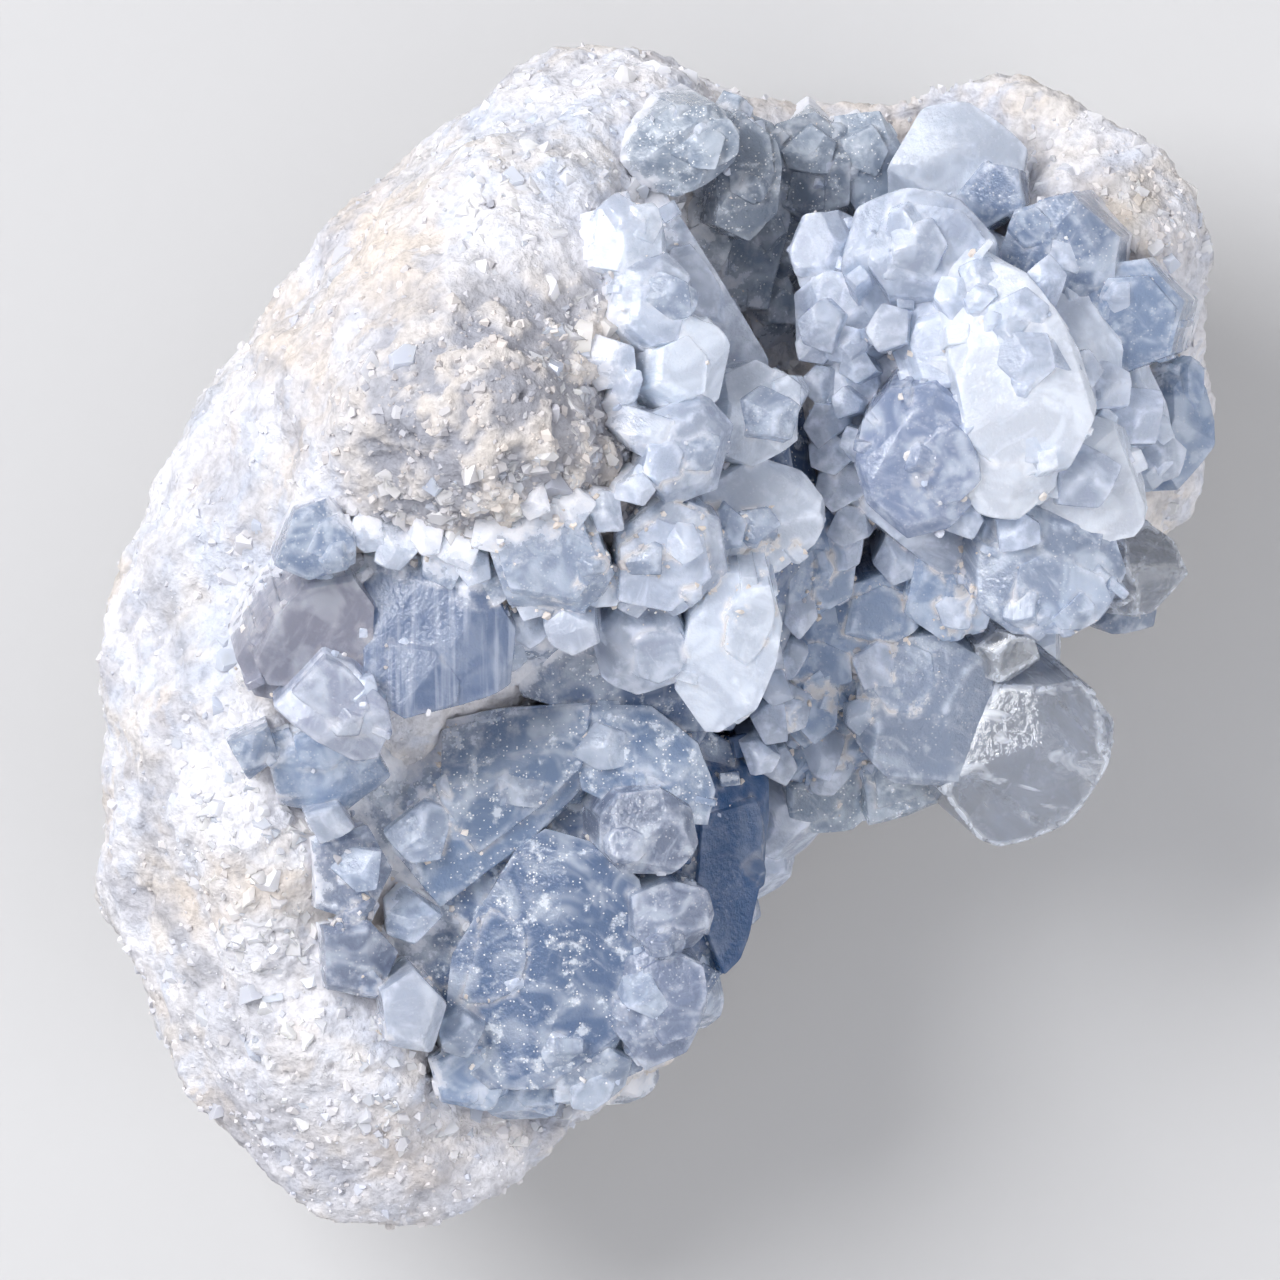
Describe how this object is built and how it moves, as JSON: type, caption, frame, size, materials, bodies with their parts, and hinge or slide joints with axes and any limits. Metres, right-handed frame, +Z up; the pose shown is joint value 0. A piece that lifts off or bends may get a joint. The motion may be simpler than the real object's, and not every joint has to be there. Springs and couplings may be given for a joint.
{
  "type": "celestite crystal geode piece",
  "caption": "Broken piece of a celestite geode: a curved wall of white stone with pale grey-blue crystals grown together on its inner side and a small dark hollow.",
  "frame": {"origin": "under the middle of the piece, on the surface that it rests on", "axes": "+Y along the longest side, towards the hollow; +X towards the pale crystals; +Z up, the shortest side"},
  "size_m": [0.0956, 0.1003, 0.0651],
  "materials": {
    "rind_stone": "matte",
    "blue_celestite": "gloss",
    "pale_celestite": "gloss",
    "dark_celestite": "gloss"
  },
  "bodies": {
    "root": {"rind": "rind_stone", "blue_crystals": "blue_celestite", "pale_crystals": "pale_celestite", "hollow_crust": "dark_celestite"}
  },
  "joints": []
}
